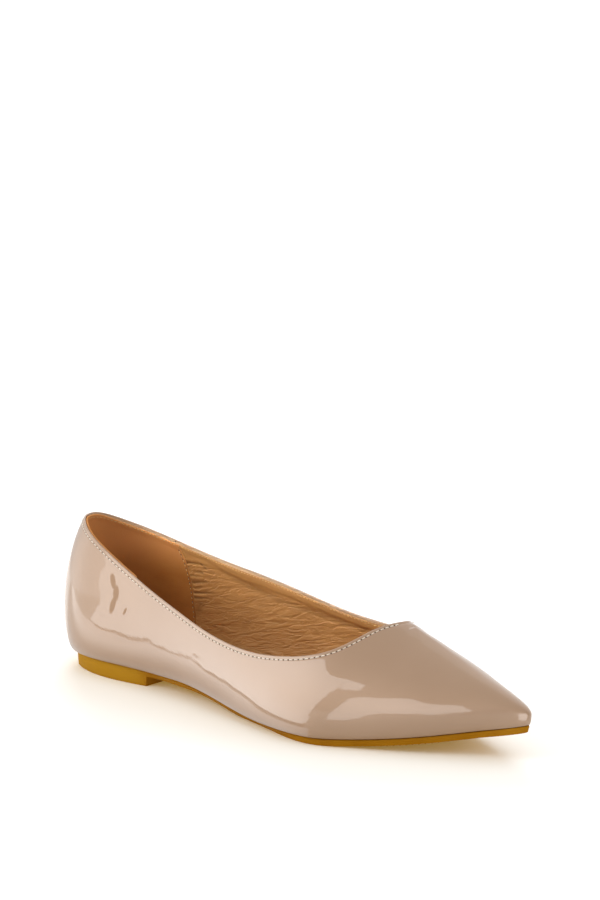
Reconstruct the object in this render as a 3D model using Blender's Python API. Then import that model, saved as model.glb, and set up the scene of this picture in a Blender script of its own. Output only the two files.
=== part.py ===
# Pointed toe flat shoe for the right foot: upper, insole, outsole and heel block.
# +X runs from the heel to the toe, +Y to the inner (big toe) side and +Z up.
# The origin is on the floor, under the middle of the whole shoe's box.

from collections import namedtuple

import bmesh
import bpy
import numpy as np
from mathutils import Matrix

# Driving dimensions, in metres
SHOE_LENGTH = 0.2672      # back of the heel to the tip of the toe, over the upper
BALL_WIDTH = 0.083        # widest place of the upper, across the ball
HEEL_WIDTH = 0.0615       # widest place of the upper's heel
HEEL_CROWN = 0.076        # the last above the heel seat; the topline cuts it lower
INSTEP_HEIGHT = 0.054     # the last above the sole, over the ball
TOE_HEIGHT = 0.0086       # widest line of the toe above the sole
UPPER_WALL = 0.0016       # leather and lining together
FEATHER_TUCK = 0.005      # how far the foot of the wall turns in under the widest line
LASTING_MARGIN = 0.009    # upper turned in between insole and outsole
SOLE_THICKNESS = 0.003
SOLE_BEVEL = 0.0005
WAIST_PARE = 0.0045       # how far the sole's underside is cut in at the waist
HEEL_LIFT = 0.0046        # height of the heel block
HEEL_LENGTH = 0.0655      # back of the upper to the front face of the heel block
HEEL_TAPER = 0.0006       # the heel block is this much smaller all round on the floor
TOE_SPRING = 0.0139       # height of the sole's tip above the floor
SPRING_START = 0.1805     # where the sole leaves the floor, from the back of the heel
BALL_START = 0.1515       # where the sole comes down to the floor
WAIST_START = 0.086       # where the sole starts to come down from the heel
INSOLE_THICKNESS = 0.0022
INSOLE_INSET = 0.0012     # the insole's lower edge lies inside the foot of the wall
INSOLE_TOE_ROOM = 0.0030  # and stops this much further back at the tip of the toe
INSOLE_FLARE = 0.0010     # and its upper edge this much further out
PIECE_GAP = 0.0003        # between pieces that touch

Section = namedtuple("Section", "along inner outer ridge peak belly crown lean tuck inset pare")

# One row for each section, from the back of the heel to the tip of the toe.
# along: the widest line's distance from the back; inner and outer: its distance from the
# axis on the big toe side and on the little toe side; ridge: where the crown lies sideways;
# peak: 1 for a round crown, more for a peaked one; belly: height of the widest line above
# the sole; crown: height of the last's crown above the sole; lean: how far forward of the
# widest line the crown lies; tuck: how far the foot of the wall turns in; inset: how far the
# sole's edge lies inside the foot of the wall; pare: and its lower edge inside its upper one.
L, W, H = SHOE_LENGTH, BALL_WIDTH, HEEL_WIDTH
C, I, T = HEEL_CROWN, INSTEP_HEIGHT, TOE_HEIGHT
F, B, P = FEATHER_TUCK, SOLE_BEVEL, WAIST_PARE
SECTIONS = (
    Section(0.000 * L, 0.000 * H, 0.000 * H, 0.000 * W, 1.00, 0.28 * C, 1.04 * C, 0.100 * L, F, 0.5 * F, B),
    Section(0.034 * L, 0.332 * H, 0.328 * H, 0.000 * W, 1.00, 0.28 * C, 1.00 * C, 0.087 * L, F, 0.5 * F, B),
    Section(0.111 * L, 0.500 * H, 0.499 * H, 0.000 * W, 1.00, 0.27 * C, 0.99 * C, 0.023 * L, F, 0.2 * F, B),
    Section(0.221 * L, 0.486 * H, 0.506 * H, 0.010 * W, 1.00, 0.25 * C, 0.95 * C, 0.000 * L, F, 0.2 * F, B),
    Section(0.360 * L, 0.338 * W, 0.402 * W, 0.010 * W, 1.00, 0.22 * C, 0.85 * C, 0.000 * L, F, 0.7 * F, P),
    Section(0.499 * L, 0.386 * W, 0.494 * W, 0.020 * W, 1.05, 0.26 * I, 1.04 * I, 0.000 * L, F, 0.5 * F, 0.8 * P),
    Section(0.640 * L, 0.434 * W, 0.559 * W, 0.058 * W, 1.30, 0.21 * I, 0.97 * I, 0.000 * L, 0.8 * F, 0.1 * F, B),
    Section(0.728 * L, 0.386 * W, 0.469 * W, 0.070 * W, 1.42, 0.17 * I, 0.845 * I, 0.000 * L, 0.7 * F, 0.0 * F, B),
    Section(0.834 * L, 0.310 * W, 0.292 * W, 0.058 * W, 1.30, 0.16 * I, 0.59 * I, 0.000 * L, 0.6 * F, 0.0 * F, B),
    Section(0.911 * L, 0.199 * W, 0.133 * W, 0.033 * W, 1.10, 1.00 * T, 0.385 * I, 0.000 * L, 0.5 * F, 0.0 * F, B),
    Section(0.977 * L, 0.092 * W, 0.034 * W, 0.028 * W, 1.00, 0.77 * T, 0.19 * I, 0.000 * L, 0.3 * F, 0.0 * F, B),
    Section(1.000 * L, 0.028 * W, -0.028 * W, 0.028 * W, 1.00, 0.45 * T, 0.45 * T, 0.000 * L, 0.2 * F, 0.0 * F, B),
)
TIP = len(SECTIONS) - 1

# The topline: section number and angle up the section, from the widest line (0) to the
# crown (90), from the back of the heel to the middle of the throat, on either side.
TOPLINE_INNER = ((0.0, 44.2), (1.0, 40.3), (2.0, 32.6), (3.0, 29.7), (4.0, 31.7), (5.0, 35.9),
                 (6.1, 36.5), (6.79, 61.5), (7.0, 90.0))
TOPLINE_OUTER = ((0.0, 44.2), (1.0, 46.6), (2.0, 41.7), (3.0, 29.4), (4.0, 19.6), (5.0, 22.9),
                 (6.27, 39.2), (6.77, 64.8), (7.0, 90.0))
THROAT_FOOT = 8.0         # section where the column from the middle of the throat comes down

# Mesh density, as numbers of faces
QUARTER_FACES = 36
VAMP_FACES = 18
WALL_FACES = 8
FOOT_FACES = 4
SOLE_STATIONS = 44
SOLE_FACES_ACROSS = 4


def spline(values, closed=False, flat_start=False):
    """Cubic spline through values at 0, 1, 2...; closed ones run round, open ones have a
    free end and a free or level start. Returns a function of the place along it."""
    values = np.asarray(values, float)
    count = len(values)
    system = np.zeros((count, count))
    right = np.zeros(count)
    for i in range(count):
        if closed or 0 < i < count - 1:
            system[i, (i - 1) % count] += 1
            system[i, i] += 4
            system[i, (i + 1) % count] += 1
            right[i] = 3 * (values[(i + 1) % count] - values[(i - 1) % count])
    if not closed:
        system[0, 0] = 1 if flat_start else 2
        system[0, 1] = 0 if flat_start else 1
        right[0] = 0 if flat_start else 3 * (values[1] - values[0])
        system[-1, -1], system[-1, -2] = 2, 1
        right[-1] = 3 * (values[-1] - values[-2])
    slopes = np.linalg.solve(system, right)

    def at(place):
        place = np.asarray(place, float)
        start = np.floor(place).astype(int)
        if not closed:
            start = np.clip(start, 0, count - 2)
        t = place - start
        a, b = start % count, (start + 1) % count
        rise = values[b] - values[a]
        return (values[a] + slopes[a] * t + (3 * rise - 2 * slopes[a] - slopes[b]) * t**2
                + (slopes[a] + slopes[b] - 2 * rise) * t**3)

    return at


def column(name):
    """One column of SECTIONS as a function of the place round the shoe. The place runs from
    0 at the back along the inner side to TIP, and back along the outer side to 2 TIP."""
    rows = [getattr(section, name) for section in SECTIONS]
    return spline(rows + rows[-2:0:-1], closed=True)


def side_column(name):
    """The same for a height that comes down steeply at the tip."""
    rows = spline([getattr(section, name) for section in SECTIONS], flat_start=True)
    return lambda place: rows(TIP - np.abs(TIP - np.asarray(place, float)))


ACROSS = spline([s.inner for s in SECTIONS] + [-s.outer for s in SECTIONS[-2:0:-1]], closed=True)
ALONG, BELLY, RIDGE, LEAN = column("along"), column("belly"), column("ridge"), column("lean")
TUCK, INSET, PARE, PEAK = column("tuck"), column("inset"), column("pare"), column("peak")
CROWN = side_column("crown")


def ease(value, start, end):
    """0 before start, 1 after end, and a smooth rise between them."""
    share = np.clip((value - start) / (end - start), 0, 1)
    return share * share * (3 - 2 * share)


def sole_top(along):
    """Height above the floor of the outsole's upper face."""
    seat = SOLE_THICKNESS + PIECE_GAP + HEEL_LIFT
    drop = (seat - SOLE_THICKNESS) * ease(along, WAIST_START, BALL_START)
    beyond = np.clip((along - SPRING_START) / (SHOE_LENGTH - SPRING_START), 0, None)
    return seat - drop + TOE_SPRING * beyond**1.6


def widest(place):
    """Point of the upper's widest line, as (along, across)."""
    return np.stack([ALONG(place), ACROSS(place)], -1)


def axis_point(place):
    """Point on the shoe's middle line that a place of the widest line looks towards."""
    number = np.clip(TIP - np.abs(TIP - place), 1.4, TIP - 2)
    return (widest(number) + widest(2 * TIP - number)) / 2


def foot_line(place, further=0.0):
    """The foot of the wall, or a line that lies further in, as (along, across)."""
    place = np.asarray(place, float)
    edge = widest(place)
    way = axis_point(place) - edge
    way /= np.linalg.norm(way, axis=-1, keepdims=True)
    return edge + way * (TUCK(place) + further)[..., None]


def wall_point(place, angle):
    """Point of the upper's outer face: angle 0 is the widest line, 90 the crown, and -90
    the foot of the wall."""
    place, angle = np.broadcast_arrays(np.asarray(place, float), np.radians(angle))
    edge = widest(place)
    crown = np.stack([ALONG(place) + LEAN(place), RIDGE(place)], -1)
    foot = foot_line(place)
    out, up = np.clip(np.cos(angle), 0, 1), np.sin(angle)
    above = angle > 0
    level = np.where(above[..., None], crown + (edge - crown) * (out ** PEAK(place))[..., None],
                     foot + (edge - foot) * out[..., None])
    rise = BELLY(place) + np.where(above, CROWN(place) - BELLY(place), BELLY(place)) * up
    height = sole_top(level[..., 0]) + PIECE_GAP + rise
    return np.concatenate([level, height[..., None]], -1)


def topline(share, rows):
    """Section number and angle of the topline at a share of its way from back to throat."""
    numbers, angles = zip(*rows)
    last = len(rows) - 1
    # Mirrored rows beyond both ends make the line cross the heel and the throat squarely.
    place = spline([2 * numbers[0] - numbers[1], *numbers, numbers[-2]])
    angle = spline([angles[1], *angles, 2 * angles[-1] - angles[-2]])
    return place(1 + share * last), angle(1 + share * last)


def even_shares(curve):
    """Shares of a curve's way that cut its length into equal faces."""
    share = np.linspace(0, 1, 400)
    steps = np.linalg.norm(np.diff(curve(share), axis=0), axis=-1)
    length = np.concatenate([[0], np.cumsum(steps)])
    return np.interp(np.linspace(0, length[-1], QUARTER_FACES + 1), length, share)


def upper_columns():
    """(foot place, top place, top angle) of each column of faces, once round the shoe."""
    throat = TOPLINE_INNER[-1][0]
    left = np.linspace(1, 0, VAMP_FACES + 1)[1:] ** 1.2
    found = []
    for rows, side in ((TOPLINE_INNER, 1), (TOPLINE_OUTER, -1)):
        def about(place):
            return TIP + side * (np.asarray(place) - TIP)

        def top_edge(share):
            place, angle = topline(share, rows)
            return wall_point(about(place), angle)

        place, angle = topline(even_shares(top_edge), rows)
        foot = THROAT_FOOT * even_shares(lambda share: foot_line(about(THROAT_FOOT * share)))
        found.append((about(np.concatenate([foot, TIP - (TIP - THROAT_FOOT) * left])),
                      about(np.concatenate([place, TIP - (TIP - throat) * left])),
                      np.concatenate([angle, np.full(VAMP_FACES, 90.0)])))
    return [np.concatenate([inner, outer[-2:0:-1]]) for inner, outer in zip(*found)]


def upper_rows():
    """Rows of points of the upper's outer face, from the lasting margin's edge upwards."""
    foot, top, angles = upper_columns()
    margin = foot_line(foot, LASTING_MARGIN)
    rows = [np.column_stack([margin, sole_top(margin[:, 0]) + PIECE_GAP])]
    for share in np.linspace(-1, 0, FOOT_FACES + 1):
        rows.append(wall_point(foot, 90 * share))
    for share in np.linspace(0, 1, WALL_FACES + 1)[1:]:
        place = foot + (top - foot) * share**2
        rows.append(wall_point(place, angles * share))
    return rows


def add_object(name, mesh, material):
    obj = bpy.data.objects.new(name, mesh)
    obj.data.materials.append(material)
    bpy.context.scene.collection.objects.link(obj)
    return obj


def add_material(name, colour, roughness, coat=0.0):
    material = bpy.data.materials.new(name)
    material.use_nodes = True
    shader = material.node_tree.nodes["Principled BSDF"]
    shader.inputs["Base Color"].default_value = (*colour, 1.0)
    shader.inputs["Roughness"].default_value = roughness
    shader.inputs["Metallic"].default_value = 0.0
    shader.inputs["Coat Weight"].default_value = coat
    return material


def mesh_from_loops(name, loops, closed=False):
    """A mesh with a face between each pair of loops and points. Each loop closes on itself.
    A closed one gets a cap on each end that its loops leave open, however narrow."""
    bm = bmesh.new()
    grid = [[bm.verts.new(point) for point in loop] for loop in loops]
    for low, high in zip(grid, grid[1:]):
        for i in range(len(low)):
            j = (i + 1) % len(low)
            bm.faces.new((low[j], low[i], high[i], high[j]))
    bmesh.ops.remove_doubles(bm, verts=bm.verts, dist=1e-5)
    if closed:
        bmesh.ops.holes_fill(bm, edges=bm.edges)
        bmesh.ops.recalc_face_normals(bm, faces=bm.faces)
    mesh = bpy.data.meshes.new(name)
    bm.to_mesh(mesh)
    bm.free()
    return mesh


def make_upper(material):
    """The whole upper in one wall: quarters, vamp and the margin lasted under the insole."""
    upper = add_object("upper", mesh_from_loops("upper", upper_rows()), material)
    wall = upper.modifiers.new("wall", "SOLIDIFY")
    wall.thickness = UPPER_WALL
    wall.offset = -1.0
    upper.data.shade_smooth()
    return upper


def outline(further, front=None):
    """Stations along an outline that lies inside the foot of the wall: distance from the
    back, and the two edges across, up to a front face or to the tip."""
    place = np.linspace(0, TIP, 400)
    inner = foot_line(place, further(place))
    outer = foot_line(2 * TIP - place, further(place))
    back = inner[0, 0]
    if front is None:
        turn = (1 - np.cos(np.linspace(0, np.pi, SOLE_STATIONS + 1))) / 2
        front = inner[-1, 0]
    else:
        turn = 1 - np.cos(np.linspace(0, np.pi / 2, SOLE_STATIONS // 2 + 1))
    along = back + (front - back) * turn
    return (along, np.interp(along, inner[:, 0], inner[:, 1]),
            np.interp(along, outer[:, 0], outer[:, 1]))


def slab_rings(low_line, high_line, low, high):
    """Cross-sections of a slab between two outlines, whose heights follow the distance."""
    shares = np.linspace(0, 1, SOLE_FACES_ACROSS + 1)
    rings = []
    for (x1, in1, out1), (x2, in2, out2) in zip(zip(*low_line), zip(*high_line)):
        bottom = [(x1, out1 + (in1 - out1) * s, low(x1)) for s in shares]
        top = [(x2, in2 + (out2 - in2) * s, high(x2)) for s in shares]
        rings.append(bottom + top)
    return rings


def make_outsole(material):
    """The outsole: flat under the ball, sprung at the toe and pared at the waist's edge."""
    def upper_edge(place):
        return INSET(place)

    def lower_edge(place):
        return INSET(place) + PARE(place)

    rings = slab_rings(outline(lower_edge), outline(upper_edge),
                       lambda x: sole_top(x) - SOLE_THICKNESS, sole_top)
    outsole = add_object("outsole", mesh_from_loops("outsole", rings, closed=True), material)
    outsole.data.shade_smooth()
    outsole.data.set_sharp_from_angle(angle=np.radians(35))
    return outsole


def make_heel(material):
    """The heel block under the seat, with a straight front face."""
    def upper_edge(place):
        return INSET(place) + PARE(place)

    def lower_edge(place):
        return upper_edge(place) + HEEL_TAPER

    rings = slab_rings(outline(lower_edge, HEEL_LENGTH), outline(upper_edge, HEEL_LENGTH),
                       lambda x: 0.0, lambda x: HEEL_LIFT)
    heel = add_object("heel", mesh_from_loops("heel", rings, closed=True), material)
    heel.data.shade_smooth()
    heel.data.set_sharp_from_angle(angle=np.radians(35))
    return heel


def make_insole(material):
    """The insole with its sock, on the margin and inside the wall."""
    def lower_edge(place):
        return INSOLE_INSET + INSOLE_TOE_ROOM * ease(ALONG(place), 0.9 * SHOE_LENGTH, SHOE_LENGTH)

    def upper_edge(place):
        return lower_edge(place) - INSOLE_FLARE

    seat = UPPER_WALL + 2 * PIECE_GAP
    rings = slab_rings(outline(lower_edge), outline(upper_edge),
                       lambda x: sole_top(x) + seat,
                       lambda x: sole_top(x) + seat + INSOLE_THICKNESS)
    insole = add_object("insole", mesh_from_loops("insole", rings, closed=True), material)
    insole.data.shade_smooth()
    insole.data.set_sharp_from_angle(angle=np.radians(35))
    return insole


def centre(pieces):
    """Moves the pieces so that the origin lies under the middle of the shoe's box."""
    place = np.linspace(0, 2 * TIP, 400)
    across = ACROSS(place)
    shift = Matrix.Translation((-SHOE_LENGTH / 2, -(across.max() + across.min()) / 2, 0))
    for piece in pieces:
        piece.data.transform(shift)


def main():
    for obj in list(bpy.data.objects):
        bpy.data.objects.remove(obj, do_unlink=True)
    patent = add_material("patent", (0.48, 0.30, 0.21), 0.25, coat=1.0)
    lining = add_material("lining", (0.40, 0.24, 0.13), 0.6)
    rubber = add_material("rubber", (0.43, 0.20, 0.015), 0.5)
    pieces = [make_upper(patent), make_insole(lining), make_outsole(rubber), make_heel(rubber)]
    centre(pieces)


main()
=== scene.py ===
import math
from collections import namedtuple

import bmesh
import bpy
import numpy as np
from mathutils import Matrix, Vector


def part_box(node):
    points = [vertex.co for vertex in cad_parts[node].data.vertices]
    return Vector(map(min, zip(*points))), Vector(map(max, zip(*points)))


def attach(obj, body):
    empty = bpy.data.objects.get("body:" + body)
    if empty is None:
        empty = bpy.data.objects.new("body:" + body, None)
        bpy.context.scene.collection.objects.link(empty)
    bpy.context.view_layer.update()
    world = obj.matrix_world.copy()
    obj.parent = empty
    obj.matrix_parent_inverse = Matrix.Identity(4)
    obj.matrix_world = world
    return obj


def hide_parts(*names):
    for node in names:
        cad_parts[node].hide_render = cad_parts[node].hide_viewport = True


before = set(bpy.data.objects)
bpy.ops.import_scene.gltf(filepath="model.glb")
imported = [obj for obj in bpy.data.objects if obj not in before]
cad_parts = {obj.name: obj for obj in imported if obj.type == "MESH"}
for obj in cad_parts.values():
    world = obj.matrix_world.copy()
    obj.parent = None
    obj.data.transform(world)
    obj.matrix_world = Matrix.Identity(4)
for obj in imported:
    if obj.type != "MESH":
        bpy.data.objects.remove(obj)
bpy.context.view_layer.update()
upperLow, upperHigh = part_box("upper")

# The shoe's sizes in metres, as in the CAD
shoe = {
    "length": upperHigh.x - upperLow.x,
    "ballWidth": 0.083,
    "heelWidth": 0.0615,
    "heelCrown": 0.076,
    "instepHeight": 0.054,
    "toeHeight": 0.0086,
    "wall": 0.0016,
    "featherTuck": 0.005,
    "lastingMargin": 0.009,
    "soleThickness": 0.003,
    "soleBevel": 0.0005,
    "waistPare": 0.0045,
    "heelLift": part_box("heel")[1].z,
    "heelLength": 0.0655,
    "heelTaper": 0.0006,
    "toeSpring": 0.0139,
    "springStart": 0.1805,
    "ballStart": 0.1515,
    "waistStart": 0.086,
    "insoleThickness": 0.0022,
    "gap": 0.0003,
}
mm = 0.001
weldDistance = 2e-6

# One row for each section from the back of the heel to the tip, as in the CAD. Inner, outer, belly and
# crown are shares of the size beside them, along and lean of the length, and ridge of the ball width
sectionRow = namedtuple("sectionRow", "along inner outer ridge peak belly crown lean tuck inset pare")
ball, heel, back, instep, toe = (shoe[key] for key in (
    "ballWidth", "heelWidth", "heelCrown", "instepHeight", "toeHeight"))
sectionTable = (
    # along, inner, outer and size, ridge, peak, belly and size, crown and size, lean, tuck, inset, pare
    (0.000, 0.000, -0.000, heel, 0.000, 1.00, 0.28, back, 1.040, back, 0.100, 1.0, 0.5, 0),
    (0.034, 0.332, 0.328, heel, 0.000, 1.00, 0.28, back, 1.000, back, 0.087, 1.0, 0.5, 0),
    (0.111, 0.500, 0.499, heel, 0.000, 1.00, 0.27, back, 0.990, back, 0.023, 1.0, 0.2, 0),
    (0.221, 0.486, 0.506, heel, 0.010, 1.00, 0.25, back, 0.950, back, 0.000, 1.0, 0.2, 0),
    (0.360, 0.338, 0.402, ball, 0.010, 1.00, 0.22, back, 0.850, back, 0.000, 1.0, 0.7, 1),
    (0.499, 0.386, 0.494, ball, 0.020, 1.05, 0.26, instep, 1.040, instep, 0, 1.0, 0.5, 0.8),
    (0.640, 0.434, 0.559, ball, 0.058, 1.30, 0.21, instep, 0.970, instep, 0, 0.8, 0.1, 0),
    (0.728, 0.386, 0.469, ball, 0.070, 1.42, 0.17, instep, 0.845, instep, 0, 0.7, 0.0, 0),
    (0.834, 0.310, 0.292, ball, 0.058, 1.30, 0.16, instep, 0.590, instep, 0, 0.6, 0.0, 0),
    (0.911, 0.199, 0.133, ball, 0.033, 1.10, 1.00, toe, 0.385, instep, 0, 0.5, 0.0, 0),
    (0.977, 0.092, 0.034, ball, 0.028, 1.00, 0.77, toe, 0.190, instep, 0, 0.3, 0.0, 0),
    (1.000, 0.028, -0.028, ball, 0.028, 1.00, 0.45, toe, 0.450, toe, 0, 0.2, 0.0, 0),
)


def sizedSection(row):
    along, inner, outer, width, ridge, peak, belly, bellySize, crown, crownSize, lean, tuck, inset, pare = row
    length, fullTuck = shoe["length"], shoe["featherTuck"]
    paring = shoe["waistPare"] * pare if pare else shoe["soleBevel"]
    return sectionRow(along * length, inner * width, outer * width, ridge * ball, peak, belly * bellySize,
                      crown * crownSize, lean * length, tuck * fullTuck, inset * fullTuck, paring)


sections = [sizedSection(row) for row in sectionTable]
tip = len(sections) - 1
toplineInner = ((0.0, 44.2), (1.0, 40.3), (2.0, 32.6), (3.0, 29.7), (4.0, 31.7), (5.0, 35.9),
                (6.1, 36.5), (6.79, 61.5), (7.0, 90.0))
toplineOuter = ((0.0, 44.2), (1.0, 46.6), (2.0, 41.7), (3.0, 29.4), (4.0, 19.6), (5.0, 22.9),
                (6.27, 39.2), (6.77, 64.8), (7.0, 90.0))
throatFoot = 8.0  # section where the column from the throat comes down to the sole


def spline(values, closed=False, flatStart=False):  # cubic through values at 0, 1, 2...
    values = np.asarray(values, float)
    count = len(values)
    system = np.zeros((count, count))
    right = np.zeros(count)
    for i in range(count):
        if closed or 0 < i < count - 1:
            system[i, (i - 1) % count] += 1
            system[i, i] += 4
            system[i, (i + 1) % count] += 1
            right[i] = 3 * (values[(i + 1) % count] - values[(i - 1) % count])
    if not closed:
        system[0, 0] = 1 if flatStart else 2
        system[0, 1] = 0 if flatStart else 1
        right[0] = 0 if flatStart else 3 * (values[1] - values[0])
        system[-1, -1], system[-1, -2] = 2, 1
        right[-1] = 3 * (values[-1] - values[-2])
    slopes = np.linalg.solve(system, right)

    def at(place):
        place = np.asarray(place, float)
        start = np.floor(place).astype(int)
        if not closed:
            start = np.clip(start, 0, count - 2)
        t = place - start
        a, b = start % count, (start + 1) % count
        rise = values[b] - values[a]
        return (values[a] + slopes[a] * t + (3 * rise - 2 * slopes[a] - slopes[b]) * t**2
                + (slopes[a] + slopes[b] - 2 * rise) * t**3)

    return at


def column(name):
    rows = [getattr(section, name) for section in sections]
    return spline(rows + rows[-2:0:-1], closed=True)


acrossAt = spline([s.inner for s in sections] + [-s.outer for s in sections[-2:0:-1]], closed=True)
alongAt, bellyAt, ridgeAt, leanAt = column("along"), column("belly"), column("ridge"), column("lean")
tuckAt, insetAt, pareAt, peakAt = column("tuck"), column("inset"), column("pare"), column("peak")
crownRows = spline([s.crown for s in sections], flatStart=True)
acrossAll = acrossAt(np.linspace(0, 2 * tip, 400))
frameShift = np.array([upperLow.x, -(acrossAll.max() + acrossAll.min()) / 2, 0.0])


def around(side, number):  # a section's place on the closed line of sections; side is 1 inside, -1 outside
    return tip + side * (number - tip)


def ease(value, start, end):
    share = np.clip((value - start) / (end - start), 0, 1)
    return share * share * (3 - 2 * share)


def soleTop(along):  # height of the outsole's upper face
    seat = shoe["soleThickness"] + shoe["gap"] + shoe["heelLift"]
    drop = (seat - shoe["soleThickness"]) * ease(along, shoe["waistStart"], shoe["ballStart"])
    beyond = np.clip((along - shoe["springStart"]) / (shoe["length"] - shoe["springStart"]), 0, None)
    return seat - drop + shoe["toeSpring"] * beyond**1.6


def widest(place):
    return np.stack([alongAt(place), acrossAt(place)], -1)


def footLine(place, further=0.0):
    place = np.asarray(place, float)
    number = np.clip(tip - np.abs(tip - place), 1.4, tip - 2)
    edge = widest(place)
    way = (widest(number) + widest(2 * tip - number)) / 2 - edge
    way /= np.linalg.norm(way, axis=-1, keepdims=True)
    return edge + way * (tuckAt(place) + further)[..., None]


def wallPoint(place, angle):  # 0 is the widest line, 90 the crown and -90 the foot of the wall
    place, angle = np.broadcast_arrays(np.asarray(place, float), np.radians(angle))
    edge = widest(place)
    crown = np.stack([alongAt(place) + leanAt(place), ridgeAt(place)], -1)
    foot = footLine(place)
    out, up = np.clip(np.cos(angle), 0, 1), np.sin(angle)
    above = angle > 0
    level = np.where(above[..., None], crown + (edge - crown) * (out ** peakAt(place))[..., None],
                     foot + (edge - foot) * out[..., None])
    top = crownRows(tip - np.abs(tip - place))
    rise = bellyAt(place) + np.where(above, top - bellyAt(place), bellyAt(place)) * up
    height = soleTop(level[..., 0]) + shoe["gap"] + rise
    return np.concatenate([level, height[..., None]], -1)


def topline(share, rows):  # section number and angle from the back to the throat
    numbers, angles = zip(*rows)
    last = len(rows) - 1
    place = spline([2 * numbers[0] - numbers[1], *numbers, numbers[-2]])
    angle = spline([angles[1], *angles, 2 * angles[-1] - angles[-2]])
    return place(1 + share * last), angle(1 + share * last)


def evenShares(curve, count):
    share = np.linspace(0, 1, 900)
    steps = np.linalg.norm(np.diff(curve(share), axis=0), axis=-1)
    length = np.concatenate([[0], np.cumsum(steps)])
    return np.interp(np.linspace(0, length[-1], count + 1), length, share)


# Grid of the upper's outer face: rim rows lie at set distances (mm) from the topline, square to it
upperGrid = {
    "quarterColumns": 120,
    "vampColumns": 56,
    "wallRows": 34,
    "footRows": 10,
    "rimDistances": (0, 0.05, 0.13, 0.24, 0.38, 0.55, 0.75, 0.95, 1.15, 1.35, 1.5, 1.65, 1.8, 1.95,
                     2.15, 2.4, 2.75, 3.2, 3.8, 4.5, 5.4),
}


def rimWalk(side, place, angle, distances):
    # Walks from topline points into the leather, square to the topline, and gives the section numbers
    # and angles at every distance (mm)
    def at(n, a):
        return wallPoint(around(side, n), a)

    def slopes(n, a):
        stepN, stepA = 1e-3, 0.05
        return ((at(n + stepN, a) - at(n - stepN, a)) / (2 * stepN),
                (at(n, a + stepA) - at(n, a - stepA)) / (2 * stepA))

    points = at(place, angle)
    tangent = np.gradient(points, axis=0)
    tangent[-1] = (0, -side, 0)
    tangent[0] = (0, side, 0)
    tangent /= np.linalg.norm(tangent, axis=-1, keepdims=True)
    alongN, alongA = slopes(place, np.minimum(angle, 89.0))
    normal = np.cross(alongN, alongA) * -side
    normal[-1] = (0, 0, 1)
    normal /= np.linalg.norm(normal, axis=-1, keepdims=True)
    way = np.cross(tangent, normal) * -side
    n, a = np.array(place, float), np.array(angle, float)
    found, done = [(n, a)], 0.0
    damping = (0.03 * mm) ** 2
    longestStep = 0.25  # mm
    for goal in distances[1:]:
        steps = max(1, math.ceil((goal - done) / longestStep))
        for _ in range(steps):
            stride = (goal - done) * mm / steps
            byN, byA = slopes(n, np.minimum(a, 89.9))
            nn, aa, na = (byN**2).sum(-1), (byA**2).sum(-1) + damping, (byN * byA).sum(-1)
            rn, ra = (byN * way).sum(-1) * stride, (byA * way).sum(-1) * stride
            det = nn * aa - na**2
            n = n + (rn * aa - ra * na) / det
            a = np.minimum(a + (ra * nn - rn * na) / det, 90.0)
        done = goal
        found.append((n, a))
    return np.array([f[0] for f in found]), np.array([f[1] for f in found])


def toplinePlaces(side, count):  # section numbers and angles at even steps from the back to the throat
    rows = toplineInner if side > 0 else toplineOuter

    def edge(share):
        number, angle = topline(share, rows)
        return wallPoint(around(side, number), angle)

    return topline(evenShares(edge, count), rows)


def upperSheet(grid):
    # Rows of places and angles over the whole outer face, topline first: the rim rows and the rest
    left = np.linspace(1, 0, grid["vampColumns"] + 1)[1:] ** 1.15
    rims, bodies = [], []
    for side in (1, -1):
        numbers, angles = rimWalk(side, *toplinePlaces(side, grid["quarterColumns"]), grid["rimDistances"])
        foot = throatFoot * evenShares(
            lambda share: footLine(around(side, throatFoot * share)), grid["quarterColumns"])
        foot = np.concatenate([foot, tip - (tip - throatFoot) * left])
        top = np.concatenate([numbers[-1], tip - (tip - numbers[-1][-1]) * left])
        topAngle = np.concatenate([angles[-1], np.full(grid["vampColumns"], 90.0)])
        share = np.linspace(1, 0, grid["wallRows"] + 1)[:, None]
        below = np.linspace(0, -90, grid["footRows"] + 1)[1:, None]
        places = np.vstack([foot + (top - foot) * share**2, foot + 0 * below])
        rims.append((around(side, numbers), angles))
        bodies.append((around(side, places), np.vstack([topAngle * share, below + 0 * foot])))

    def loop(pair):  # inner columns from the back to the front, then outer ones back again
        return [np.concatenate([inner, outer[:, -2:0:-1]], 1) for inner, outer in zip(*pair)]

    return loop(rims), loop(bodies)


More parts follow.
